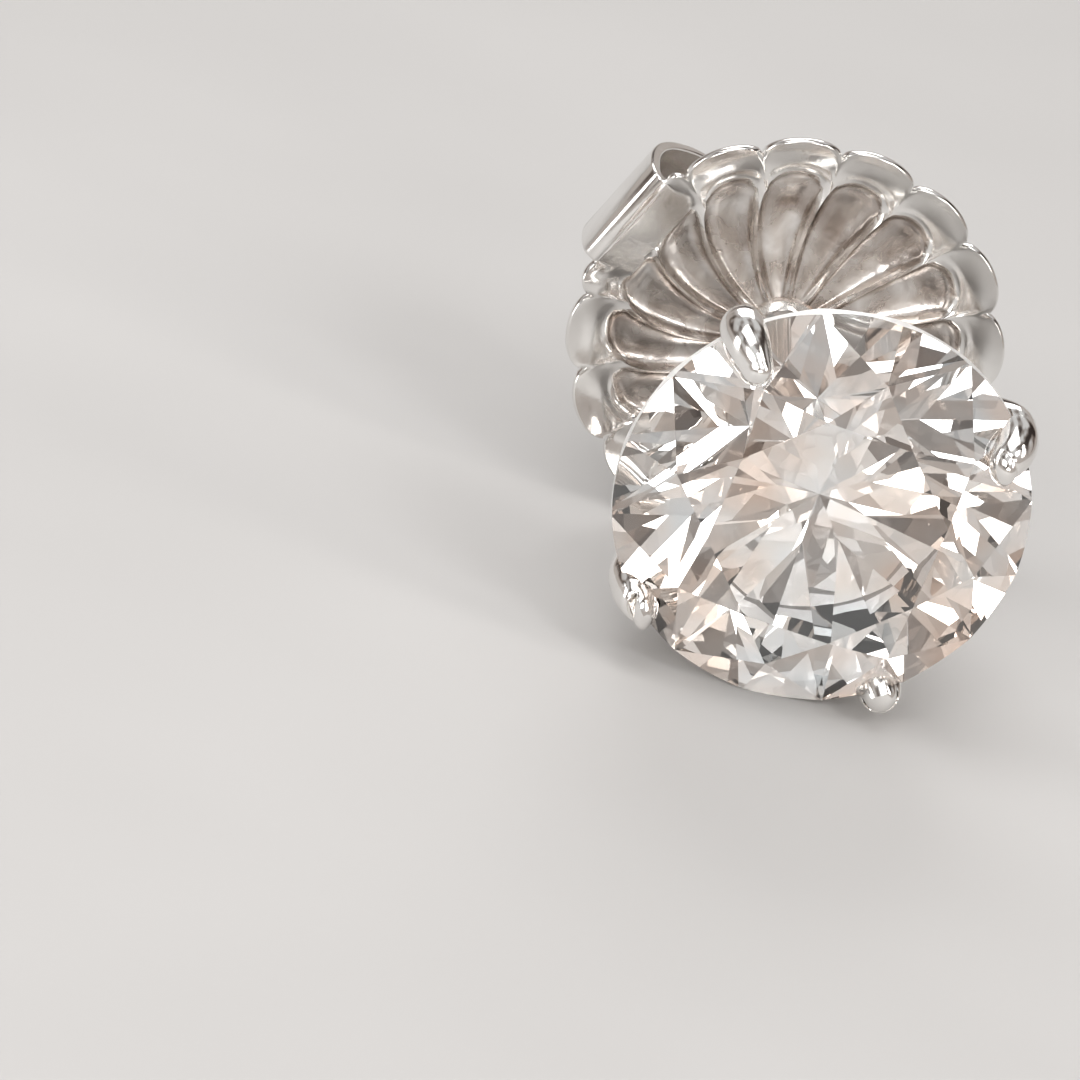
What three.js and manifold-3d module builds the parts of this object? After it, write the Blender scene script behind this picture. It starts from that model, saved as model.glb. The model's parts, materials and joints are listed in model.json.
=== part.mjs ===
// A round diamond stud earring with a large fluted friction back, lying on its side as it rests by itself.
// Millimetres, +Z up. The earring is built along its post: the stone faces -Y, the post points along +Y and
// the middle of the stone's girdle is at y = 0. It is then rolled and pitched on to the surface it lies on.

import * as THREE from "three";
import { mergeVertices } from "three/addons/utils/BufferGeometryUtils.js";
import Module from "manifold-3d";

const wasm = await Module();
wasm.setup();

// ---------------------------------------------------------------- driving dimensions

const STONE_RADIUS = 4.05;
const GIRDLE_THICKNESS = 0.3;
const TABLE_RADIUS = 2.31; // to the corners of the octagonal table
const CROWN_ANGLE = radians(34.5);
const PAVILION_ANGLE = radians(40.8);
const STAR_SHARE = 0.5; // how far a star facet reaches from the table's edge to the girdle
const LOWER_HALF_SHARE = 0.77; // how far a lower half facet reaches from the girdle to the culet
const STEPS_PER_HALF = 4; // straight sides of the girdle along one half facet

const SEAT_SCALE = 1.012; // the seat cut in the prongs, against the stone

// Each prong's bearing at the girdle, how many degrees its tip leans round the stone from there, and how much
// further out than the closest one its tip stays. They are uneven, as bent by hand.
const PRONGS = [
  { bearing: 20, lean: -3, open: 0.08 },
  { bearing: 112, lean: 0, open: 0 },
  { bearing: 203, lean: 4, open: 0.42 },
  { bearing: 286, lean: 0, open: 0.42 },
];
const OPEN_RISE = 0.49; // a tip that stays further out sits this much lower on the crown for each millimetre
const PRONG_SIDES = 12;
const PRONG_STEPS = 16;
// The middle line of a prong from the basket's base to its tip: distance from the post's axis, place along
// the post, and the wire's radius there.
const PRONG_PATH = [
  { out: 0.95, along: 4.25, radius: 0.38 },
  { out: 1.6, along: 3.75, radius: 0.4 },
  { out: 2.75, along: 2.1, radius: 0.42 },
  { out: 3.82, along: 0.5, radius: 0.45 },
  { out: 3.96, along: -0.05, radius: 0.46 },
  { out: 3.83, along: -0.5, radius: 0.43 },
  { out: 3.5, along: -0.83, radius: 0.33 },
];
const PRONG_GIRDLE = 4 / 6; // the share of its path at which a prong passes the girdle

const GALLERY_RADIUS = 2.68;
const GALLERY_ALONG = 2.2;
const GALLERY_WIRE = 0.27;

const POST_RADIUS = 0.45;
const BASE_BACK = 4.6; // the basket's flat back face, which lies against the ear
const POST_TIP = 14.2;
// The half section of the basket's base and the post, from the axis back to the axis.
const POST_PROFILE = [
  { radius: 0, along: 3.7 },
  { radius: 1.0, along: 3.7 },
  { radius: 1.32, along: 3.98 },
  { radius: 1.32, along: 4.42 },
  { radius: 1.18, along: BASE_BACK },
  { radius: 0.62, along: BASE_BACK },
  { radius: POST_RADIUS, along: BASE_BACK + 0.15 },
  { radius: POST_RADIUS, along: POST_TIP - 1.3 },
  { radius: POST_RADIUS - 0.08, along: POST_TIP - 1.15 },
  { radius: POST_RADIUS - 0.08, along: POST_TIP - 0.95 },
  { radius: POST_RADIUS, along: POST_TIP - 0.8 },
  { radius: POST_RADIUS, along: POST_TIP - 0.28 },
  { radius: 0.28, along: POST_TIP - 0.05 },
  { radius: 0, along: POST_TIP },
];

const SHEET = 0.22; // thickness of the back's stamped sheet
const PETALS = 16;
const NOTCH_BEARING = 6.1; // degrees: one of the notches between petals
const PETAL_RADIUS = 4.36;
const NOTCH_RADIUS = 4.0;
const HOLE_EDGE = 0.6; // where the dished disc meets its eyelet
const STEPS_PER_PETAL = 8;
// The front face of the disc from the eyelet (share 0) to its edge (share 1), as places along the post: on
// the rib between two petals and in the middle of a petal.
const DISC_SECTION = [
  { share: 0, rib: 8.55, petal: 8.55 },
  { share: 0.1, rib: 8.51, petal: 8.6 },
  { share: 0.25, rib: 8.45, petal: 8.65 },
  { share: 0.4, rib: 8.4, petal: 8.68 },
  { share: 0.55, rib: 8.36, petal: 8.68 },
  { share: 0.7, rib: 8.32, petal: 8.57 },
  { share: 0.78, rib: 8.3, petal: 8.37 },
  { share: 0.86, rib: 8.28, petal: 8.31 },
  { share: 0.93, rib: 8.25, petal: 8.18 },
  { share: 1, rib: 8.2, petal: 7.97 },
];
const RIM_SHARE = 0.78; // where the polished rim begins
// The flutes swirl towards the eyelet, further on one side than on the other: degrees of turn at the eyelet.
const SWIRL = { mean: 9, uneven: 14, most_at: 155 };

const WING_BEARINGS = [139, 319];
const WING_WIDTH = 2.2;
const WING_FOLD = 4.02; // distance from the post's axis to the disc's straight edge at a wing
const WING_FLAT = [8.36, 8.24]; // the wing's flat front, from the rim's start to its edge
const WING_REACH = 20.5; // degrees each side of a wing's bearing over which the rim runs into the wing
// The middle line of a wing's strip from inside the rim, round its roll, to the end that grips the post.
const WING_PATH = [
  { out: 3.74, along: 8.42 },
  { out: 3.9, along: 8.385 },
  { out: 4.04, along: 8.36 },
  { out: 4.15, along: 8.37 },
  { out: 4.23, along: 8.45 },
  { out: 4.255, along: 8.6 },
  { out: 4.25, along: 8.95 },
  { out: 4.13, along: 9.75 },
  { out: 3.85, along: 10.55 },
  { out: 3.4, along: 11.25 },
  { out: 2.75, along: 11.85 },
  { out: 2.0, along: 12.05 },
  { out: 1.35, along: 11.7 },
  { out: 0.95, along: 11.05 },
  { out: 0.72, along: 10.45 },
  { out: 0.63, along: 10.0 },
];
const WING_STEPS = 40;

const EYELET = { inner: 0.53, outer: 0.8, front: 8.45, back: 9.02 };

const REST_BEARING = 253.6; // the bearing that faces down: two petals straddle it
const REST_PITCH = radians(1.785); // the stone's girdle sits closer to the post than the petals' tips do

const GOLD = { color: 0xd6d3d0, roughness: 0.22, metalness: 1 };
const DIAMOND = { color: 0xf4f4f2, roughness: 0.02, metalness: 0 };

// ---------------------------------------------------------------- helpers

function radians(degrees) {
  return (degrees * Math.PI) / 180;
}

/** A point at a distance and bearing round the post, and a place along it. */
function place(out, bearing, along) {
  const angle = radians(bearing);
  return new THREE.Vector3(out * Math.cos(angle), along, out * Math.sin(angle));
}

/** A closed solid from any three.js geometry, its faces turned outwards. */
function solid(geometry) {
  const bare = geometry.index ? geometry.toNonIndexed() : geometry.clone();
  bare.deleteAttribute("normal");
  bare.deleteAttribute("uv");
  const merged = mergeVertices(bare, 1e-4);
  const vertProperties = merged.attributes.position.array;
  const corners = [...merged.index.array];
  const triangles = [];
  for (let i = 0; i < corners.length; i += 3) {
    const [a, b, c] = corners.slice(i, i + 3);
    if (a !== b && b !== c && c !== a) triangles.push(a, b, c);
  }
  const make = (list) =>
    new wasm.Manifold(new wasm.Mesh({ numProp: 3, vertProperties, triVerts: new Uint32Array(list) }));
  const made = make(triangles);
  return made.volume() < 0 ? make(triangles.reverse()) : made;
}

/** A named mesh from a solid. */
function part(name, body, finish) {
  const shape = body.getMesh();
  const geometry = new THREE.BufferGeometry();
  geometry.setAttribute("position", new THREE.BufferAttribute(shape.vertProperties, shape.numProp));
  geometry.setIndex(new THREE.BufferAttribute(shape.triVerts, 1));
  geometry.computeVertexNormals();
  const mesh = new THREE.Mesh(geometry, new THREE.MeshStandardMaterial(finish));
  mesh.name = name;
  return mesh;
}

/** A geometry from polygons, each a list of points in order round its edge. */
function polygons(faces) {
  const points = faces.flatMap((face) => face.slice(2).flatMap((point, i) => [face[0], face[i + 1], point]));
  return new THREE.BufferGeometry().setFromPoints(points);
}

/** The quads between two rings of points of the same count. */
function band(first, second) {
  return first.map((point, i) => {
    const next = (i + 1) % first.length;
    return [point, first[next], second[next], second[i]];
  });
}

/** A table's column at a share of its range, by a smooth curve through its rows. */
function column(table, key, name, at) {
  const last = table.length - 1;
  let i = 0;
  while (i < last - 1 && at > table[i + 1][key]) i++;
  const [before, from, to, after] = [i - 1, i, i + 1, i + 2].map((k) => table[Math.min(Math.max(k, 0), last)]);
  const width = to[key] - from[key];
  const slope = (a, b) => (b[key] === a[key] ? 0 : ((b[name] - a[name]) / (b[key] - a[key])) * width);
  const t = Math.min(Math.max((at - from[key]) / width, 0), 1);
  const start = slope(before, to);
  const end = slope(from, after);
  const rise = to[name] - from[name];
  return from[name] + t * (start + t * (3 * rise - 2 * start - end + t * (start + end - 2 * rise)));
}

// ---------------------------------------------------------------- diamond

/** A round brilliant: 8 stars, 8 kites and 16 halves on the crown, 8 mains and 16 halves below. */
function brilliant() {
  const half = GIRDLE_THICKNESS / 2;
  const crownTop = half + (STONE_RADIUS - TABLE_RADIUS) * Math.tan(CROWN_ANGLE);
  const culetDepth = half + STONE_RADIUS * Math.tan(PAVILION_ANGLE);
  const between = Math.cos(radians(22.5));
  const tableEdge = TABLE_RADIUS * between;
  const starOut = tableEdge + STAR_SHARE * (STONE_RADIUS - tableEdge);
  const starTop = crownTop - (starOut * between - TABLE_RADIUS) * Math.tan(CROWN_ANGLE);
  const meetOut = STONE_RADIUS * (1 - LOWER_HALF_SHARE);
  const meetDepth = culetDepth - meetOut * between * Math.tan(PAVILION_ANGLE);

  const eighths = [...Array(8).keys()];
  const table = eighths.map((k) => place(TABLE_RADIUS, 45 * k, -crownTop));
  const stars = eighths.map((k) => place(starOut, 45 * k + 22.5, -starTop));
  const meets = eighths.map((k) => place(meetOut, 45 * k + 22.5, meetDepth));
  const culet = place(0, 0, culetDepth);

  // A half facet's plane meets the round girdle in a shallow dip between its two corners.
  const dip = (step, inner, height) => {
    const angle = radians((22.5 * step) / STEPS_PER_HALF);
    const chord = Math.cos(radians(11.25)) / Math.cos(angle - radians(11.25));
    const slope = (height - half) / ((STONE_RADIUS - inner) * Math.cos(radians(11.25)));
    return half - (STONE_RADIUS - STONE_RADIUS * chord) * Math.cos(angle - radians(11.25)) * slope;
  };
  const girdle = (inner, height, side) => {
    const ring = [];
    for (let i = 0; i < 16 * STEPS_PER_HALF; i++) {
      const bearing = (22.5 * i) / STEPS_PER_HALF;
      ring.push(place(STONE_RADIUS, bearing, side * dip(i % STEPS_PER_HALF, inner, height)));
    }
    return ring;
  };
  const upper = girdle(starOut, starTop, -1);
  const lower = girdle(meetOut, meetDepth, 1);

  const halves = (ring, tips) =>
    ring.map((point, i) => {
      const tip = tips[Math.floor(i / (2 * STEPS_PER_HALF))];
      return [point, ring[(i + 1) % ring.length], tip];
    });
  const faces = [table, ...halves(upper, stars), ...band(lower, upper)];
  for (const k of eighths) {
    const previous = (k + 7) % 8;
    const corner = k * 2 * STEPS_PER_HALF;
    faces.push([table[k], stars[k], table[(k + 1) % 8]]);
    faces.push([table[k], stars[previous], upper[corner], stars[k]]);
    faces.push([culet, meets[k], lower[corner], meets[previous]]);
  }
  for (const [a, b, c] of halves(lower, meets)) faces.push([b, a, c]);
  return polygons(faces);
}

// ---------------------------------------------------------------- setting

/** One prong: round wire from the base, past the girdle, bent in over the crown to a round tip. */
function prong({ bearing, lean, open }) {
  const last = PRONG_PATH.length - 1;
  const rows = PRONG_PATH.map((row, i) => ({ ...row, share: i / last }));
  const side = new THREE.Vector3(-Math.sin(radians(bearing)), 0, Math.cos(radians(bearing)));
  const centre = (share) => {
    const past = (share - PRONG_GIRDLE) / (1 - PRONG_GIRDLE);
    const further = open * Math.max(past, 0) ** 2;
    const out = column(rows, "share", "out", share) + further;
    const along = column(rows, "share", "along", share) + further * OPEN_RISE;
    return place(out, bearing + lean * past, along);
  };
  const rings = [];
  for (let i = 0; i <= PRONG_STEPS; i++) {
    const share = i / PRONG_STEPS;
    const forward = centre(Math.min(share + 0.01, 1)).sub(centre(Math.max(share - 0.01, 0))).normalize();
    const across = side.clone().cross(forward);
    const radius = column(rows, "share", "radius", share);
    const ring = [];
    for (let k = 0; k < PRONG_SIDES; k++) {
      const angle = (2 * Math.PI * k) / PRONG_SIDES;
      const point = centre(share).addScaledVector(side, radius * Math.cos(angle));
      ring.push(point.addScaledVector(across, radius * Math.sin(angle)));
    }
    rings.push(ring);
  }
  const faces = rings.slice(1).flatMap((ring, i) => band(rings[i], ring));
  faces.push([...rings[0]].reverse(), rings[PRONG_STEPS]);
  const tip = PRONG_PATH[last];
  const bead = new THREE.SphereGeometry(tip.radius, 14, 10);
  bead.translate(...centre(1).toArray());
  return solid(polygons(faces)).add(solid(bead));
}

/** The basket and post: prongs, gallery ring, base and post, soldered into one solid. */
function setting() {
  const profile = POST_PROFILE.map((row) => new THREE.Vector2(row.radius, row.along));
  let body = solid(new THREE.LatheGeometry(profile, 24));
  const gallery = new THREE.TorusGeometry(GALLERY_RADIUS, GALLERY_WIRE, 8, 32);
  gallery.rotateX(Math.PI / 2);
  gallery.translate(0, GALLERY_ALONG, 0);
  body = body.add(solid(gallery));
  for (const row of PRONGS) body = body.add(prong(row));
  const seat = brilliant();
  seat.scale(SEAT_SCALE, SEAT_SCALE, SEAT_SCALE);
  return body.subtract(solid(seat));
}

// ---------------------------------------------------------------- ear back

/** How far a bearing is from the nearest wing's, in degrees. */
function offWing(bearing) {
  const gaps = WING_BEARINGS.map((wing) => Math.abs(((bearing - wing + 540) % 360) - 180));
  return Math.min(...gaps);
}

/** 1 on a wing, falling to 0 where the scalloped rim starts again. */
function wingShare(bearing) {
  const corner = Math.atan(WING_WIDTH / 2 / WING_FOLD) * (180 / Math.PI);
  const t = (WING_REACH - offWing(bearing)) / (WING_REACH - corner);
  return Math.min(Math.max(t, 0), 1);
}

/** A point on the disc's front face, at a share of the way from the eyelet to the edge. */
function discFront(share, bearing) {
  const petal = (((bearing - NOTCH_BEARING) * PETALS) / 360 + PETALS) % 1;
  const across = 2 * petal - 1;
  const bulge = Math.sqrt(1 - across * across);
  const scallop = NOTCH_RADIUS + (PETAL_RADIUS - NOTCH_RADIUS) * bulge;
  const onWing = wingShare(bearing);
  const fold = WING_FOLD / Math.cos(radians(Math.min(offWing(bearing), WING_REACH)));
  const edge = THREE.MathUtils.lerp(scallop, fold, onWing);
  const section = (name, at) => column(DISC_SECTION, "share", name, at);
  const rolled = THREE.MathUtils.lerp(section("rib", share), section("petal", share), bulge);
  const overRim = Math.max(share - RIM_SHARE, 0) / (1 - RIM_SHARE);
  const flat = THREE.MathUtils.lerp(...WING_FLAT, overRim);
  const along = overRim > 0 ? THREE.MathUtils.lerp(rolled, flat, onWing) : rolled;
  const inward = Math.pow(Math.max(1 - share / RIM_SHARE, 0), 0.75);
  const turn = (SWIRL.mean + SWIRL.uneven * Math.cos(radians(bearing - SWIRL.most_at))) * inward;
  return place(HOLE_EDGE + share * (edge - HOLE_EDGE), bearing + turn, along);
}

/** The stamped disc: its front face, the same face a sheet's thickness behind, and the edges between. */
function disc() {
  const rings = DISC_SECTION.map(({ share }) => {
    const ring = [];
    for (let i = 0; i < PETALS * STEPS_PER_PETAL; i++) {
      ring.push(discFront(share, NOTCH_BEARING + (360 * i) / (PETALS * STEPS_PER_PETAL)));
    }
    return ring;
  });
  const behind = rings.map((ring) => ring.map((point) => point.clone().setY(point.y + SHEET)));
  const last = rings.length - 1;
  const faces = [...band(behind[0], rings[0]), ...band(rings[last], behind[last])];
  for (let i = 0; i < last; i++) {
    faces.push(...band(rings[i], rings[i + 1]), ...band(behind[i + 1], behind[i]));
  }
  return polygons(faces);
}

/** One wing: a strip that folds back at the rim and rolls in to the post. */
function wing(bearing) {
  const line = new THREE.SplineCurve(WING_PATH.map((row) => new THREE.Vector2(row.out, row.along)));
  const outer = [];
  const inner = [];
  for (let i = 0; i <= WING_STEPS; i++) {
    const middle = line.getPoint(i / WING_STEPS);
    const along = line.getTangent(i / WING_STEPS);
    const normal = new THREE.Vector2(along.y, -along.x).multiplyScalar(SHEET / 2);
    outer.push(middle.clone().add(normal));
    inner.unshift(middle.clone().sub(normal));
  }
  const strip = new THREE.ExtrudeGeometry(new THREE.Shape([...outer, ...inner]), {
    depth: WING_WIDTH,
    bevelEnabled: false,
  });
  strip.translate(0, 0, -WING_WIDTH / 2);
  const radial = place(1, bearing, 0);
  const post = new THREE.Vector3(0, 1, 0);
  strip.applyMatrix4(new THREE.Matrix4().makeBasis(radial, post, radial.clone().cross(post)));
  return solid(strip);
}

/** The ear back: disc, eyelet and two wings, stamped from one sheet. */
function earBack() {
  const eyelet = new THREE.LatheGeometry(
    [
      new THREE.Vector2(EYELET.inner, EYELET.front),
      new THREE.Vector2(EYELET.outer, EYELET.front),
      new THREE.Vector2(EYELET.outer, EYELET.back),
      new THREE.Vector2(EYELET.inner, EYELET.back),
      new THREE.Vector2(EYELET.inner, EYELET.front),
    ],
    24,
  );
  let body = solid(disc()).add(solid(eyelet));
  for (const bearing of WING_BEARINGS) body = body.add(wing(bearing));
  return body;
}

// ---------------------------------------------------------------- assembly

const earring = new THREE.Group();
earring.add(part("diamond", solid(brilliant()), DIAMOND));
earring.add(part("setting", setting(), GOLD));
earring.add(part("ear_back", earBack(), GOLD));
earring.rotation.y = radians(REST_BEARING - 270);

const resting = new THREE.Group();
resting.add(earring);
resting.rotation.x = REST_PITCH;

// The origin is on the surface, under the middle of the whole earring.
const box = new THREE.Box3().setFromObject(resting, true);
const middle = box.getCenter(new THREE.Vector3());
resting.position.set(-middle.x, -middle.y, -box.min.z);

const stud = new THREE.Group();
stud.add(resting);

export default stud;
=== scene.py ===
"""The looks of a round diamond stud earring with a large fluted friction back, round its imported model."""

import json
import math

import bmesh
import bpy
from mathutils import Matrix, Vector


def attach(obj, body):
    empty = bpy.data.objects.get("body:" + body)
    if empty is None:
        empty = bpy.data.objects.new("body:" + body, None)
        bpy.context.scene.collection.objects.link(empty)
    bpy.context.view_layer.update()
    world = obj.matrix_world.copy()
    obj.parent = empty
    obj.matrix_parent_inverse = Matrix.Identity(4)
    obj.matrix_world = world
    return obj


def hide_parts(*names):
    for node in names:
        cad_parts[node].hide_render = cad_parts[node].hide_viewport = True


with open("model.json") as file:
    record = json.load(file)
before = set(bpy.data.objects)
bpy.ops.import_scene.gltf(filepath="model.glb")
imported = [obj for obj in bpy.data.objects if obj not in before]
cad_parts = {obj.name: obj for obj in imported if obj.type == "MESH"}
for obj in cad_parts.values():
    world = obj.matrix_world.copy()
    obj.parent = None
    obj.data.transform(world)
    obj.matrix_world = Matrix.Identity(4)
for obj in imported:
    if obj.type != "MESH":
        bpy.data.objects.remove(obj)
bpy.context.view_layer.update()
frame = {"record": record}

MM = 0.001

# ---------------------------------------------------------------- the earring's own frame
# Shapes are worked out in millimetres in the earring's own frame: the stone faces -Y, the post runs along +Y
# and the middle of the stone's girdle is the origin. TO_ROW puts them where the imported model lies.

REST_BEARING = 253.6  # the bearing round the post that the earring lies on
REST_ROLL = math.radians(REST_BEARING - 270)
MOUNT_POINT = Vector((0.9, 4.6, 0))  # the record's lobe_face, in millimetres from the girdle's middle

lobe_face = next(m for m in frame["record"]["mounts"] if m["name"] == "lobe_face")
REST_PITCH = math.atan2(lobe_face["axis"][2], lobe_face["axis"][1])
PITCH = Matrix.Rotation(REST_PITCH, 4, "X")
GIRDLE_MIDDLE = Vector(lobe_face["pos_m"]) - (PITCH @ MOUNT_POINT) * MM
TURN = PITCH @ Matrix.Rotation(REST_ROLL, 4, "Y")
TO_ROW = Matrix.Translation(GIRDLE_MIDDLE) @ TURN @ Matrix.Scale(MM, 4)


def place(out, bearing, along):
    """A point at a distance and bearing round the post, and a place along it."""
    angle = math.radians(bearing)
    return Vector((out * math.cos(angle), along, out * math.sin(angle)))


# ---------------------------------------------------------------- camera

VIEW_AZIMUTH = math.radians(5.13)  # against the earring's own frame
VIEW_ELEVATION = math.radians(23.7)
VIEW_DISTANCE = 0.2
LENS = 346.3
AIM_RIGHT = -5.42 * MM  # the stone is right of the picture's middle and a little above it
AIM_UP = -0.66 * MM

look = Vector(
    (
        math.sin(VIEW_AZIMUTH) * math.cos(VIEW_ELEVATION),
        math.cos(VIEW_AZIMUTH) * math.cos(VIEW_ELEVATION),
        -math.sin(VIEW_ELEVATION),
    )
)
right = Vector((math.cos(VIEW_AZIMUTH), -math.sin(VIEW_AZIMUTH), 0))
up = right.cross(look)
turn = TURN.to_3x3()
eye = GIRDLE_MIDDLE - turn @ look * VIEW_DISTANCE
target = GIRDLE_MIDDLE + turn @ (right * AIM_RIGHT + up * AIM_UP)
forward = (target - eye).normalized()
sideways = forward.cross(turn @ up).normalized()
upright = sideways.cross(forward)
camera_data = bpy.data.cameras.new("camera")
camera_data.lens = LENS
camera_data.sensor_width = 36
camera_data.clip_start = 0.001
camera_data.clip_end = 10
camera = bpy.data.objects.new("camera", camera_data)
camera.matrix_world = Matrix.Translation(eye) @ Matrix((sideways, upright, -forward)).transposed().to_4x4()
bpy.context.collection.objects.link(camera)
bpy.context.scene.camera = camera

# ---------------------------------------------------------------- mesh helpers


def add_mesh(name, points, faces):
    """An object from points in the earring's own frame, still in millimetres there."""
    mesh = bpy.data.meshes.new(name)
    mesh.from_pydata(points, [], faces)
    made = bpy.data.objects.new(name, mesh)
    bpy.context.collection.objects.link(made)
    work = bmesh.new()
    work.from_mesh(mesh)
    bmesh.ops.remove_doubles(work, verts=work.verts, dist=1e-5)
    bmesh.ops.recalc_face_normals(work, faces=work.faces)
    work.to_mesh(mesh)
    work.free()
    return made


def settle(made, body, node, finishes, smooth_angle=None, choose=None):
    """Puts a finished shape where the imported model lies, in metres, and gives it its materials and body.

    choose gives the number of a face's finish from its middle in the earring's own frame.
    """
    numbers = [choose(face.center) if choose else 0 for face in made.data.polygons]
    made.data.transform(TO_ROW)
    if smooth_angle is not None:
        made.data.shade_smooth()
        made.data.set_sharp_from_angle(angle=math.radians(smooth_angle))
    made.data.materials.clear()
    for finish in finishes:
        made.data.materials.append(finish)
    made.data.polygons.foreach_set("material_index", numbers)
    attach(made, body)
    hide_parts(node)


def loft(rings, close_ends=True):
    """Points and faces of a tube through rings of the same count."""
    count = len(rings[0])
    points = [point for ring in rings for point in ring]
    faces = []
    for i in range(len(rings) - 1):
        for k in range(count):
            n = (k + 1) % count
            faces.append((i * count + k, i * count + n, (i + 1) * count + n, (i + 1) * count + k))
    if close_ends:
        faces.append(tuple(reversed(range(count))))
        last = (len(rings) - 1) * count
        faces.append(tuple(range(last, last + count)))
    return points, faces


def spline(rows, at):
    """A smooth curve through equally spaced rows of numbers, at a share from 0 to 1."""
    place_at = min(max(at, 0), 1) * (len(rows) - 1)
    i = min(int(place_at), len(rows) - 2)
    t = place_at - i
    before, start, end, after = (rows[min(max(k, 0), len(rows) - 1)] for k in (i - 1, i, i + 1, i + 2))
    made = []
    for a, b, c, d in zip(before, start, end, after):
        made.append(
            0.5 * (2 * b + (c - a) * t + (2 * a - 5 * b + 4 * c - d) * t * t + (3 * b - a - 3 * c + d) * t**3)
        )
    return made


def column(table, name, at):
    """A column of a table at a share of its range, by a smooth curve through its rows."""
    last = len(table) - 1
    i = 0
    while i < last - 1 and at > table[i + 1]["share"]:
        i += 1
    before, start, end, after = (table[min(max(k, 0), last)] for k in (i - 1, i, i + 1, i + 2))
    width = end["share"] - start["share"]

    def slope(a, b):
        return (b[name] - a[name]) / (b["share"] - a["share"]) * width if b is not a else 0

    t = min(max((at - start["share"]) / width, 0), 1)
    first, second, rise = slope(before, end), slope(start, after), end[name] - start[name]
    return start[name] + t * (first + t * (3 * rise - 2 * first - second + t * (first + second - 2 * rise)))


def join(parts, operation, name):
    """Boolean-joins or cuts closed meshes into the first one."""
    whole = parts[0]
    bpy.context.view_layer.objects.active = whole
    for other in parts[1:]:
        modifier = whole.modifiers.new("join", "BOOLEAN")
        modifier.operation = operation
        modifier.solver = "MANIFOLD"
        modifier.object = other
        bpy.ops.object.modifier_apply(modifier=modifier.name)
        bpy.data.objects.remove(other)
    whole.name = name
    return whole


# ---------------------------------------------------------------- diamond

STONE_RADIUS = 4.05
GIRDLE_THICKNESS = 0.3
TABLE_RADIUS = 2.31
CROWN_ANGLE = math.radians(34.5)
PAVILION_ANGLE = math.radians(40.8)
STAR_SHARE = 0.5
LOWER_HALF_SHARE = 0.77
FACET = 45  # degrees from one main facet to the next
HALF_FACET = 22.5
GIRDLE_STEPS = 8  # straight sides of the girdle along one half facet


def brilliant(scale=1.0):
    """Points and faces of a round brilliant with flat facets."""
    half = GIRDLE_THICKNESS / 2
    between = math.cos(math.radians(HALF_FACET))
    crown_top = half + (STONE_RADIUS - TABLE_RADIUS) * math.tan(CROWN_ANGLE)
    culet_depth = half + STONE_RADIUS * math.tan(PAVILION_ANGLE)
    table_edge = TABLE_RADIUS * between
    star_out = table_edge + STAR_SHARE * (STONE_RADIUS - table_edge)
    star_top = crown_top - (star_out * between - TABLE_RADIUS) * math.tan(CROWN_ANGLE)
    meet_out = STONE_RADIUS * (1 - LOWER_HALF_SHARE)
    meet_depth = culet_depth - meet_out * between * math.tan(PAVILION_ANGLE)
    table = [place(TABLE_RADIUS, FACET * k, -crown_top) for k in range(8)]
    stars = [place(star_out, FACET * k + HALF_FACET, -star_top) for k in range(8)]
    meets = [place(meet_out, FACET * k + HALF_FACET, meet_depth) for k in range(8)]
    culet = place(0, 0, culet_depth)

    def girdle(tips, side):
        """One edge of the girdle, where the half facets cut the stone's round side."""
        ring = []
        for i in range(16):
            tip = tips[i // 2]
            first = place(STONE_RADIUS, HALF_FACET * i, side * half)
            second = place(STONE_RADIUS, HALF_FACET * (i + 1), side * half)
            normal = (second - first).cross(tip - first)
            for step in range(GIRDLE_STEPS):
                spot = place(STONE_RADIUS, HALF_FACET * (i + step / GIRDLE_STEPS), 0)
                spot.y = first.y - (
                    normal.x * (spot.x - first.x) + normal.z * (spot.z - first.z)
                ) / normal.y
                ring.append(spot)
        return ring

    upper = girdle(stars, -1)
    lower = girdle(meets, 1)
    count = len(upper)
    points = [*table, *stars, *meets, culet, *upper, *lower]
    points = [point * scale for point in points]
    t, s, m, c, u, v = 0, 8, 16, 24, 25, 25 + count
    faces = [tuple(range(t, t + 8))]
    for k in range(8):
        after, before = (k + 1) % 8, (k + 7) % 8
        corner = k * 2 * GIRDLE_STEPS
        faces.append((t + k, s + k, t + after))
        faces.append((t + k, s + before, u + corner, s + k))
        faces.append((c, m + k, v + corner, m + before))
    for i in range(16):
        run = [(i * GIRDLE_STEPS + step) % count for step in range(GIRDLE_STEPS + 1)]
        faces.append((*[u + r for r in run], s + i // 2))
        faces.append((m + i // 2, *[v + r for r in reversed(run)]))
    for i in range(count):
        after = (i + 1) % count
        faces.append((u + i, v + i, v + after, u + after))
    return points, faces


# ---------------------------------------------------------------- setting

PRONGS = (  # bearing at the girdle, degrees its tip leans from there, how much further out its tip stays
    (20, -3, 0.08),
    (112, 0, 0),
    (203, 4, 0.42),
    (286, 0, 0.42),
)
OPEN_RISE = 0.49  # a tip that stays further out sits this much lower on the crown for each millimetre
PRONG_GIRDLE = 4 / 6  # the share of its path at which a prong passes the girdle
PRONG_SIDES = 28
PRONG_STEPS = 44
BEAD_STEPS = 6
PRONG_PATH = (  # distance from the post's axis, place along it, radius
    (0.95, 4.25, 0.38),
    (1.6, 3.75, 0.4),
    (2.75, 2.1, 0.42),
    (3.82, 0.5, 0.45),
    (3.96, -0.05, 0.46),
    (3.83, -0.5, 0.43),
    (3.5, -0.83, 0.33),
)
SEAT_SCALE = 1.012  # the seat cut in the prongs, against the stone
POST_RADIUS = 0.45
BASE_BACK = 4.6  # the basket's flat back face
POST_TIP = 14.2
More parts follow.
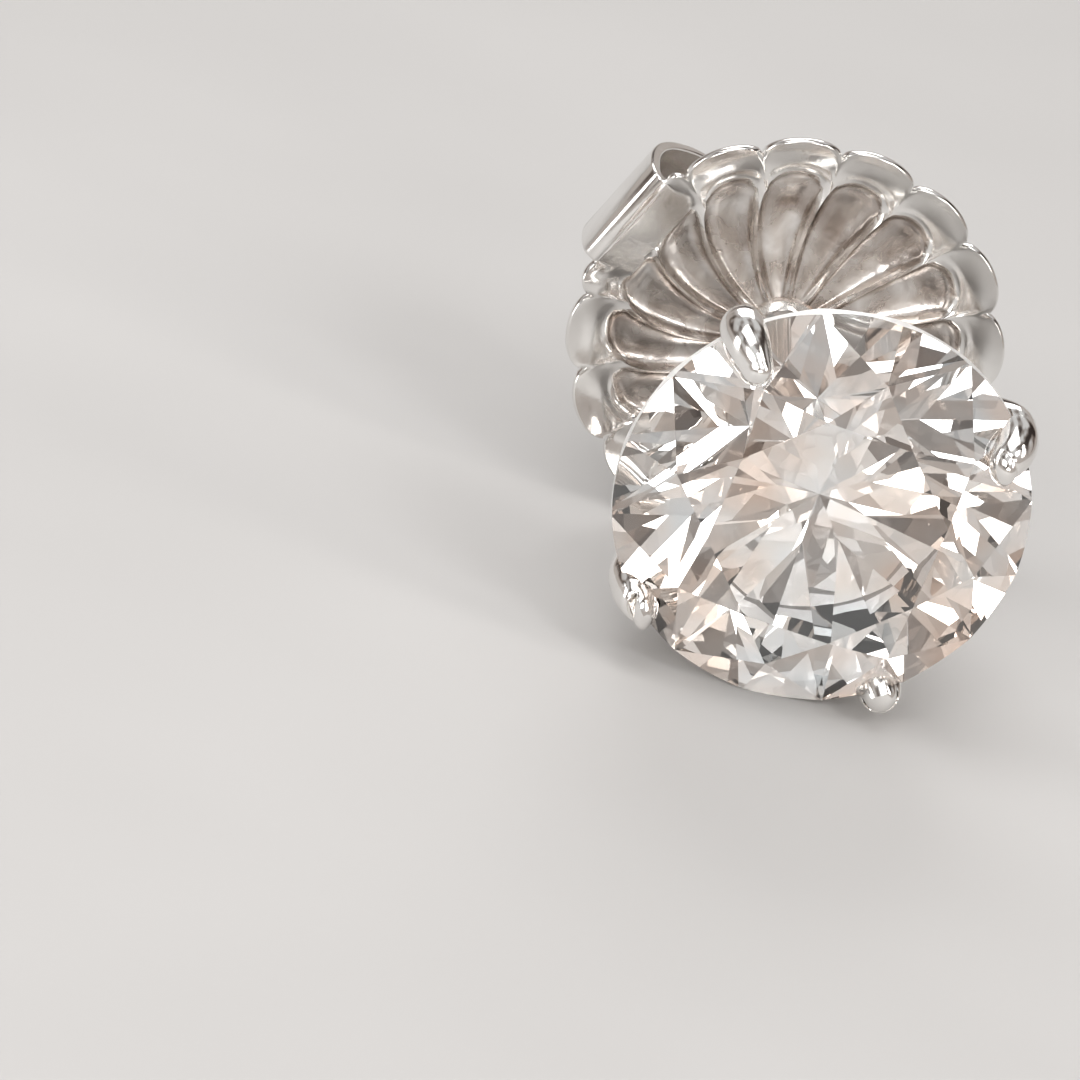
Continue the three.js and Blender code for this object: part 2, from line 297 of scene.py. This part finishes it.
POST_PROFILE = (  # radius, place along the post
    (1.0, 3.72),
    (1.24, 3.8),
    (1.31, 3.98),
    (1.315, 4.2),
    (1.31, 4.42),
    (1.27, 4.53),
    (1.18, 4.59),
    (0.62, 4.59),
    (0.5, 4.63),
    (POST_RADIUS, 4.75),
    (POST_RADIUS, POST_TIP - 1.3),
    (0.43, POST_TIP - 1.24),
    (POST_RADIUS - 0.08, POST_TIP - 1.15),
    (POST_RADIUS - 0.09, POST_TIP - 1.05),
    (POST_RADIUS - 0.08, POST_TIP - 0.95),
    (0.43, POST_TIP - 0.86),
    (POST_RADIUS, POST_TIP - 0.8),
    (POST_RADIUS, POST_TIP - 0.36),
    (0.43, POST_TIP - 0.24),
    (0.36, POST_TIP - 0.12),
    (0.25, POST_TIP - 0.04),
    (0.1, POST_TIP - 0.01),
)
GALLERY_RADIUS = 2.68
GALLERY_ALONG = 2.2
GALLERY_WIRE = 0.27


def prong_at(share, bearing, lean, open_by):
    """The middle of a prong's wire and its radius at a share of its path."""
    out, along, radius = spline(PRONG_PATH, share)
    past = (share - PRONG_GIRDLE) / (1 - PRONG_GIRDLE)
    further = open_by * max(past, 0) ** 2
    return place(out + further, bearing + lean * past, along + further * OPEN_RISE), radius


def prong(bearing, lean, open_by):
    """Round wire from the basket's base, past the girdle and bent in over the crown to a round bead."""
    side = Vector((-math.sin(math.radians(bearing)), 0, math.cos(math.radians(bearing))))
    rings = []
    for i in range(PRONG_STEPS + 1):
        share = i / PRONG_STEPS
        middle, radius = prong_at(share, bearing, lean, open_by)
        ahead, _ = prong_at(min(share + 0.01, 1), bearing, lean, open_by)
        behind, _ = prong_at(max(share - 0.01, 0), bearing, lean, open_by)
        heading = (ahead - behind).normalized()
        across = side.cross(heading)
        rings.append((middle, heading, across, radius))
    middle, heading, across, radius = rings[-1]
    for lift in range(1, BEAD_STEPS + 1):
        angle = math.radians(90 * lift / (BEAD_STEPS + 0.4))  # stops just short of a point
        rings.append((middle + heading * radius * math.sin(angle), heading, across, radius * math.cos(angle)))
    made = []
    for middle, heading, across, radius in rings:
        ring = []
        for k in range(PRONG_SIDES):
            angle = 2 * math.pi * k / PRONG_SIDES
            ring.append(middle + side * radius * math.cos(angle) + across * radius * math.sin(angle))
        made.append(ring)
    return loft(made)


def turned(profile, sides=56):
    """A shape turned about the post's axis."""
    return loft([[place(r, 360 * k / sides, y) for k in range(sides)] for r, y in profile])


def gallery(sides=96, round_sides=20):
    """The ring of wire that ties the prongs together."""
    points, faces = [], []
    for i in range(sides):
        for k in range(round_sides):
            angle = 2 * math.pi * k / round_sides
            out = GALLERY_RADIUS + GALLERY_WIRE * math.cos(angle)
            points.append(place(out, 360 * i / sides, GALLERY_ALONG + GALLERY_WIRE * math.sin(angle)))
            n, m = (i + 1) % sides, (k + 1) % round_sides
            faces.append((i * round_sides + k, n * round_sides + k, n * round_sides + m, i * round_sides + m))
    return points, faces


# ---------------------------------------------------------------- ear back

SHEET = 0.22  # thickness of the stamped sheet
PETALS = 16
NOTCH_BEARING = 6.1  # one of the notches between petals
PETAL_RADIUS = 4.36
NOTCH_RADIUS = 4.0
HOLE_EDGE = 0.6  # where the disc meets its eyelet
DISC_BACK = 9.0  # the whole disc lies in front of this, and the wings' rolls behind it
ACROSS_STEPS = 28  # faces round one petal
OUT_STEPS = 64  # faces from the eyelet to the edge
LIP_STEPS = 6
LIP_BULGE = 0.05  # how far the disc's edge is rounded out
# The disc's front face from the eyelet (share 0) to its edge (share 1), as places along the post, on the
# rib between two petals and in the middle of a petal.
DISC_SECTION = (
    {"share": 0, "rib": 8.55, "petal": 8.55},
    {"share": 0.1, "rib": 8.51, "petal": 8.6},
    {"share": 0.25, "rib": 8.45, "petal": 8.65},
    {"share": 0.4, "rib": 8.4, "petal": 8.68},
    {"share": 0.55, "rib": 8.36, "petal": 8.68},
    {"share": 0.7, "rib": 8.32, "petal": 8.6},
    {"share": 0.78, "rib": 8.3, "petal": 8.37},
    {"share": 0.86, "rib": 8.28, "petal": 8.31},
    {"share": 0.93, "rib": 8.25, "petal": 8.18},
    {"share": 1, "rib": 8.2, "petal": 7.97},
)
RIM_SHARE = 0.78  # where the polished rim begins
END_ROUND = 0.09  # how far short of the rim a trough ends beside the ribs
END_SLOPE = (0.035, 0.05)  # how far past and before its end a trough slopes up to the rim
DEEPEST_SHARE = 0.7  # from here out a trough keeps its depth up to its rounded end
SWIRL_MEAN, SWIRL_UNEVEN, SWIRL_MOST_AT = 9, 14, 155  # degrees: how far the flutes turn by the eyelet
WING_BEARINGS = (139, 319)
WING_WIDTH = 2.2
WING_FOLD = 4.02  # distance from the post's axis to the disc's straight edge at a wing
WING_REACH = 20.5  # degrees each side of a wing over which the rim runs into it
WING_FLAT = (8.36, 8.24)  # the front of a wing's flat from the rim's start to the fold
WING_STEPS = 110
WING_EDGE = 0.05  # radius of the strip's rounded edges
WING_PATH = (  # distance from the post's axis, place along it: the middle of the strip
    (3.74, 8.42),
    (3.9, 8.385),
    (4.04, 8.36),
    (4.15, 8.37),
    (4.23, 8.45),
    (4.255, 8.6),
    (4.25, 8.95),
    (4.13, 9.75),
    (3.85, 10.55),
    (3.4, 11.25),
    (2.75, 11.85),
    (2.0, 12.05),
    (1.35, 11.7),
    (0.95, 11.05),
    (0.72, 10.45),
    (0.63, 10.0),
)
RIB_WIDTH = 0.07  # half width of the raised line between two petals
RIB_HEIGHT = 0.075
RIB_GROOVE = 0.35  # how much of its height the groove along its middle takes


def off_wing(bearing):
    """How far a bearing is from the nearest wing's, in degrees."""
    return min(abs((bearing - wing + 540) % 360 - 180) for wing in WING_BEARINGS)


def smooth(low, high, value):
    """0 at low and 1 at high, with a soft start and end."""
    t = min(max((value - low) / (high - low), 0), 1)
    return t * t * (3 - 2 * t)


def lerp(a, b, t):
    """The value a share t of the way from a to b."""
    return a + (b - a) * t


def wing_share(bearing):
    """1 on a wing, falling to 0 where the scalloped rim starts again."""
    corner = math.degrees(math.atan(WING_WIDTH / 2 / WING_FOLD))
    return min(max((WING_REACH - off_wing(bearing)) / (WING_REACH - corner), 0), 1)


def rounding(across):
    """The round outline across a petal: 1 in its middle, 0 at the ribs."""
    return math.sqrt(max(1 - across * across, 0))


def spoon_end(across):
    """The share at which a trough ends, from its middle (across 0) to the ribs beside it (across 1)."""
    return RIM_SHARE - END_ROUND * abs(across) ** 3.4


def rib_gap(across, out):
    """How far a point is from the middle of the nearest rib, in millimetres."""
    return (1 - abs(across)) * math.pi * out / PETALS


def swirl(share, bearing):
    """How many degrees the flutes are turned at a share of the way to the edge."""
    turned_most = SWIRL_MEAN + SWIRL_UNEVEN * math.cos(math.radians(bearing - SWIRL_MOST_AT))
    return turned_most * max(1 - share / RIM_SHARE, 0) ** 0.75


def petal_at(bearing):
    """Where a bearing lies across its petal (-1 to 1), the disc's edge there, and how much of a wing it is."""
    across = 2 * (((bearing - NOTCH_BEARING) * PETALS / 360) % 1) - 1
    scallop = NOTCH_RADIUS + (PETAL_RADIUS - NOTCH_RADIUS) * rounding(across)
    on_wing = wing_share(bearing)
    fold = WING_FOLD / math.cos(math.radians(min(off_wing(bearing), WING_REACH)))
    return across, lerp(scallop, fold, on_wing), on_wing


def disc_front(share, bearing):
    """A point on the stamped disc's front face, at a share of the way from the eyelet to the edge."""
    across, edge, on_wing = petal_at(bearing)
    bulge = rounding(across)
    out = HOLE_EDGE + share * (edge - HOLE_EDGE)
    rib, trough = column(DISC_SECTION, "rib", share), column(DISC_SECTION, "petal", share)
    # the spoon-shaped trough: round across, with a rounded end just inside the rim
    end = spoon_end(across)
    inside = smooth(end + END_SLOPE[0], end - END_SLOPE[1], share)
    bowl = max(1 - abs(across) ** 2.8, 0) ** 0.7
    rim = lerp(rib, trough, bulge)
    floor = lerp(rib, max(trough, column(DISC_SECTION, "petal", min(share, DEEPEST_SHARE))), bowl)
    along = lerp(rim, floor, inside)
    # the raised double line on the rib, which fades out before the rim
    gap = rib_gap(across, out)
    line = smooth(RIB_WIDTH * 1.5, RIB_WIDTH * 0.75, gap) * smooth(RIM_SHARE + 0.06, RIM_SHARE - 0.1, share)
    groove = smooth(RIB_WIDTH * 0.5, 0, gap)
    along -= RIB_HEIGHT * line * (1 - RIB_GROOVE * groove) * smooth(0.0, 0.12, share)
    if share > RIM_SHARE:
        along = lerp(along, lerp(*WING_FLAT, (share - RIM_SHARE) / (1 - RIM_SHARE)), on_wing)
    return place(out, bearing + swirl(share, bearing), along)


def disc():
    """The stamped disc, a sheet's thickness deep, with a rounded edge."""
    count = PETALS * ACROSS_STEPS
    front, back = [], []
    for i in range(OUT_STEPS + 1):
        share = i / OUT_STEPS
        row = [disc_front(share, NOTCH_BEARING + 360 * k / count) for k in range(count)]
        front.append(row)
        back.append([point + Vector((0, SHEET, 0)) for point in row])
    lip = []
    for lip_step in range(1, LIP_STEPS):
        angle = math.pi * lip_step / LIP_STEPS
        ring = []
        for near, far in zip(front[-1], back[-1]):
            outward = Vector((near.x, 0, near.z)).normalized()
            ring.append(
                (near + far) / 2
                + Vector((0, -math.cos(angle) * SHEET / 2, 0))
                + outward * math.sin(angle) * LIP_BULGE
            )
        lip.append(ring)
    rings = [*front, *lip, *reversed(back)]
    points, faces = loft(rings, close_ends=False)
    last = (len(rings) - 1) * count
    for k in range(count):
        n = (k + 1) % count
        faces.append((last + k, last + n, n, k))
    return points, faces


def wing(bearing):
    """A strip that folds back at the rim and rolls in to the post."""
    radial = place(1, bearing, 0)
    post = Vector((0, 1, 0))
    side = radial.cross(post)
    rings = []
    soft = WING_EDGE
    for i in range(WING_STEPS + 1):
        share = i / WING_STEPS
        out, along = spline(WING_PATH, share)
        ahead, behind = spline(WING_PATH, min(share + 0.004, 1)), spline(WING_PATH, max(share - 0.004, 0))
        heading = Vector((ahead[0] - behind[0], ahead[1] - behind[1])).normalized()
        normal = Vector((heading.y, -heading.x))
        section = []
        half_width, half_thick = WING_WIDTH / 2, SHEET / 2 + 0.002
        for quarter, (sx, sy) in enumerate(((1, 1), (-1, 1), (-1, -1), (1, -1))):
            for step in range(4):
                angle = math.radians(90 * (quarter + step / 3))
                section.append(
                    (
                        sx * (half_width - soft) + soft * math.cos(angle),
                        sy * (half_thick - soft) + soft * math.sin(angle),
                    )
                )
        ring = []
        for width, thick in section:
            spot = Vector((out, along)) + normal * thick
            ring.append(radial * spot.x + post * spot.y + side * width)
        rings.append(ring)
    return loft(rings)


EYELET_PROFILE = (  # radius, place along the post
    (0.53, 8.51),
    (0.56, 8.46),
    (0.62, 8.45),
    (0.76, 8.47),
    (0.8, 8.53),
    (0.8, 8.95),
    (0.77, 9.01),
    (0.7, 9.02),
    (0.58, 9.02),
    (0.54, 8.98),
)


def eyelet(sides=56):
    """The short collar round the hole."""
    rings = [[place(r, 360 * k / sides, y) for k in range(sides)] for r, y in EYELET_PROFILE]
    points, faces = loft(rings, close_ends=False)
    last = (len(rings) - 1) * sides
    for k in range(sides):
        n = (k + 1) % sides
        faces.append((last + k, last + n, n, k))
    return points, faces


# ---------------------------------------------------------------- materials

DIAMOND_IOR = 2.417


def material(name):
    """A new material with its nodes and links."""
    made = bpy.data.materials.new(name)
    made.use_nodes = True
    return made, made.node_tree.nodes, made.node_tree.links


def noise(nodes, links, scale, detail=3.0, distortion=0.0):
    """A noise pattern in object space, with its scale in waves per metre."""
    coordinates = nodes.new("ShaderNodeTexCoord")
    made = nodes.new("ShaderNodeTexNoise")
    made.inputs["Scale"].default_value = scale
    made.inputs["Detail"].default_value = detail
    made.inputs["Distortion"].default_value = distortion
    links.new(coordinates.outputs["Object"], made.inputs["Vector"])
    return made.outputs["Fac"]


def ramp(nodes, links, source, stops):
    """A colour ramp over a pattern, from (place, colour) stops."""
    made = nodes.new("ShaderNodeValToRGB")
    while len(made.color_ramp.elements) < len(stops):
        made.color_ramp.elements.new(0.5)
    for element, (spot, colour) in zip(made.color_ramp.elements, stops):
        element.position = spot
        element.color = (*colour, 1) if len(colour) == 3 else colour
    links.new(source, made.inputs["Fac"])
    return made.outputs["Color"]


def bump(nodes, links, source, distance, normal=None):
    """Raises the surface by a pattern, up to a distance in metres."""
    made = nodes.new("ShaderNodeBump")
    made.inputs["Distance"].default_value = distance
    links.new(source, made.inputs["Height"])
    if normal is not None:
        links.new(normal, made.inputs["Normal"])
    return made.outputs["Normal"]


def metal(name, colours, rough, waves, grain, dents=0.0):
    """White gold: an uneven colour, a roughness that varies with handling, shallow dents and a fine grain."""
    made, nodes, links = material(name)
    shader = nodes["Principled BSDF"]
    shader.inputs["Metallic"].default_value = 1.0
    patches = noise(nodes, links, waves, 4.0, 0.4)
    fine = noise(nodes, links, waves * 9, 5.0, 0.0)
    stops = [(0.3 + 0.4 * i / (len(colours) - 1), colour) for i, colour in enumerate(colours)]
    links.new(ramp(nodes, links, patches, stops), shader.inputs["Base Color"])
    low, high = rough
    links.new(
        ramp(nodes, links, patches, ((0.25, (low,) * 3), (0.75, (high,) * 3))), shader.inputs["Roughness"]
    )
    dented = bump(nodes, links, patches, dents) if dents else None
    links.new(bump(nodes, links, fine, grain, normal=dented), shader.inputs["Normal"])
    return made


def diamond_material():
    """Polished diamond, with faint warm and cool clouds that its facets mix into a little colour."""
    made, nodes, links = material("diamond")
    nodes.remove(nodes["Principled BSDF"])
    glass = nodes.new("ShaderNodeBsdfGlass")
    glass.inputs["IOR"].default_value = DIAMOND_IOR
    glass.inputs["Roughness"].default_value = 0.0
    tints = (
        (0.36, (1.0, 0.94, 0.9)),
        (0.46, (1.0, 0.985, 0.97)),
        (0.56, (1, 1, 1)),
        (0.68, (0.96, 0.985, 1.0)),
    )
    cloud = noise(nodes, links, 480, 1.5)
    links.new(ramp(nodes, links, cloud, tints), glass.inputs["Color"])
    links.new(glass.outputs[0], nodes["Material Output"].inputs["Surface"])
    return made


def girdle_material():
    """The stone's ground girdle: frosted, with a fine grain."""
    made, nodes, links = material("diamond_girdle")
    shader = nodes["Principled BSDF"]
    shader.inputs["Transmission Weight"].default_value = 0.55
    shader.inputs["IOR"].default_value = DIAMOND_IOR
    grain = noise(nodes, links, 9000, 3.0)
    links.new(
        ramp(nodes, links, grain, ((0.3, (0.86, 0.86, 0.85)), (0.7, (0.97, 0.97, 0.96)))),
        shader.inputs["Base Color"],
    )
    links.new(
        ramp(nodes, links, grain, ((0.3, (0.3,) * 3), (0.7, (0.5,) * 3))), shader.inputs["Roughness"]
    )
    links.new(bump(nodes, links, grain, 0.00001), shader.inputs["Normal"])
    return made


# ---------------------------------------------------------------- build the pieces


def on_girdle(spot):
    """1 on the stone's ground girdle, 0 on its facets."""
    return 1 if math.hypot(spot.x, spot.z) > STONE_RADIUS * 0.995 else 0


def in_trough(spot):
    """1 in the satin troughs of the disc, 0 on its polished rim and ribs, its eyelet and the wings."""
    out = math.hypot(spot.x, spot.z)
    bearing = math.degrees(math.atan2(spot.z, spot.x))
    share = (out - HOLE_EDGE) / (petal_at(bearing)[1] - HOLE_EDGE)
    bearing -= swirl(share, bearing)
    across = petal_at(bearing)[0]
    on_rib = rib_gap(across, out) < RIB_WIDTH * 0.8 and share > 0.25
    return 1 if 0.04 < share < spoon_end(across) and spot.y < DISC_BACK and not on_rib else 0


stone = add_mesh("brilliant_diamond", *brilliant())
settle(stone, "stud", "diamond", (diamond_material(), girdle_material()), choose=on_girdle)

polished = metal("polished_white_gold", ((0.86, 0.84, 0.82), (0.93, 0.92, 0.9)), (0.09, 0.18), 500, 0.0000008)
pieces = [add_mesh("turned", *turned(POST_PROFILE)), add_mesh("ring", *gallery())]
pieces += [add_mesh("wire", *prong(*row)) for row in PRONGS]
setting = join(pieces, "UNION", "prong_setting")
join([setting, add_mesh("seat", *brilliant(SEAT_SCALE))], "DIFFERENCE", "prong_setting")
settle(setting, "stud", "setting", (polished,), 35)

rim = metal("polished_stamped_gold", ((0.78, 0.76, 0.74), (0.92, 0.91, 0.89)), (0.1, 0.2), 900, 0.000002)
satin = metal(
    "satin_stamped_gold",
    ((0.34, 0.285, 0.25), (0.56, 0.515, 0.48), (0.84, 0.82, 0.8)),
    (0.2, 0.34),
    1100,
    0.000003,
    0.00006,
)
pieces = [add_mesh("sheet", *disc()), add_mesh("collar", *eyelet())]
pieces += [add_mesh("strip", *wing(bearing)) for bearing in WING_BEARINGS]
back = join(pieces, "UNION", "fluted_back")
settle(back, "back", "ear_back", (rim, satin), 40, in_trough)

# ---------------------------------------------------------------- floor and light

FLOOR_HALF = 1.5
floor_mesh = bpy.data.meshes.new("floor")
corners = [(x * FLOOR_HALF, y * FLOOR_HALF, 0) for x, y in ((-1, -1), (1, -1), (1, 1), (-1, 1))]
floor_mesh.from_pydata(corners, [], [(0, 1, 2, 3)])
floor = bpy.data.objects.new("floor", floor_mesh)
bpy.context.collection.objects.link(floor)
pale, nodes, links = material("pale_floor")
nodes["Principled BSDF"].inputs["Roughness"].default_value = 0.6
links.new(
    ramp(nodes, links, noise(nodes, links, 60, 2.0), ((0.3, (0.53, 0.52, 0.51)), (0.7, (0.57, 0.56, 0.55)))),
    nodes["Principled BSDF"].inputs["Base Color"],
)
floor.data.materials.append(pale)

world = bpy.data.worlds.new("studio")
bpy.context.scene.world = world
world.use_nodes = True
nodes, links = world.node_tree.nodes, world.node_tree.links
direction = nodes.new("ShaderNodeTexCoord")
separate = nodes.new("ShaderNodeSeparateXYZ")
links.new(direction.outputs["Generated"], separate.inputs[0])
height = ramp(
    nodes, links, separate.outputs["Z"], ((0.0, (0.75, 0.68, 0.63)), (0.3, (0.7, 0.64, 0.6)), (0.7, (1, 1, 1)))
)
room = nodes.new("ShaderNodeTexNoise")
room.inputs["Scale"].default_value = 2.2
room.inputs["Detail"].default_value = 1.0
links.new(direction.outputs["Generated"], room.inputs["Vector"])
patches = ramp(
    nodes,
    links,
    room.outputs["Fac"],
    ((0.4, (0.07, 0.055, 0.05)), (0.47, (0.35, 0.3, 0.27)), (0.56, (1, 1, 1))),
)
blend = nodes.new("ShaderNodeMixRGB")
blend.blend_type = "MULTIPLY"
# plain near the horizon, patchy above it
links.new(ramp(nodes, links, separate.outputs["Z"], ((0.08, (0, 0, 0)), (0.2, (1, 1, 1)))), blend.inputs["Fac"])
links.new(height, blend.inputs["Color1"])
links.new(patches, blend.inputs["Color2"])
links.new(blend.outputs["Color"], nodes["Background"].inputs["Color"])
nodes["Background"].inputs["Strength"].default_value = 0.65


def panel(name, spot, size, power, colour=(1, 1, 1)):
    """A soft rectangular light that faces the earring, its place in metres in the earring's upright frame."""
    data = bpy.data.lights.new(name, "AREA")
    data.shape = "RECTANGLE"
    data.size, data.size_y = size
    data.energy = power
    data.color = colour
    made = bpy.data.objects.new(name, data)
    place_at = GIRDLE_MIDDLE + turn @ Vector(spot)
    made.location = place_at
    made.rotation_euler = (GIRDLE_MIDDLE - place_at).to_track_quat("-Z", "Y").to_euler()
    bpy.context.collection.objects.link(made)


panel("top_softbox", (0.02, -0.03, 0.3), (0.26, 0.2), 0.36)
panel("front_softbox", (-0.07, -0.28, 0.2), (0.18, 0.12), 0.42)
panel("side_softbox", (0.2, -0.24, 0.2), (0.1, 0.1), 0.26)
panel("left_softbox", (-0.3, -0.04, 0.17), (0.12, 0.2), 0.3)
panel("right_strip", (0.28, -0.12, 0.12), (0.06, 0.22), 0.2, (1.0, 0.97, 0.93))
panel("low_front_strip", (0.1, -0.3, 0.05), (0.16, 0.04), 0.12, (1.0, 0.96, 0.92))
panel("back_softbox", (0.05, 0.3, 0.18), (0.2, 0.12), 0.24)

scene = bpy.context.scene
scene.view_settings.view_transform = "Standard"
scene.cycles.max_bounces = 24
scene.cycles.transmission_bounces = 20
scene.cycles.glossy_bounces = 8
scene.cycles.diffuse_bounces = 4
scene.cycles.use_denoising = True
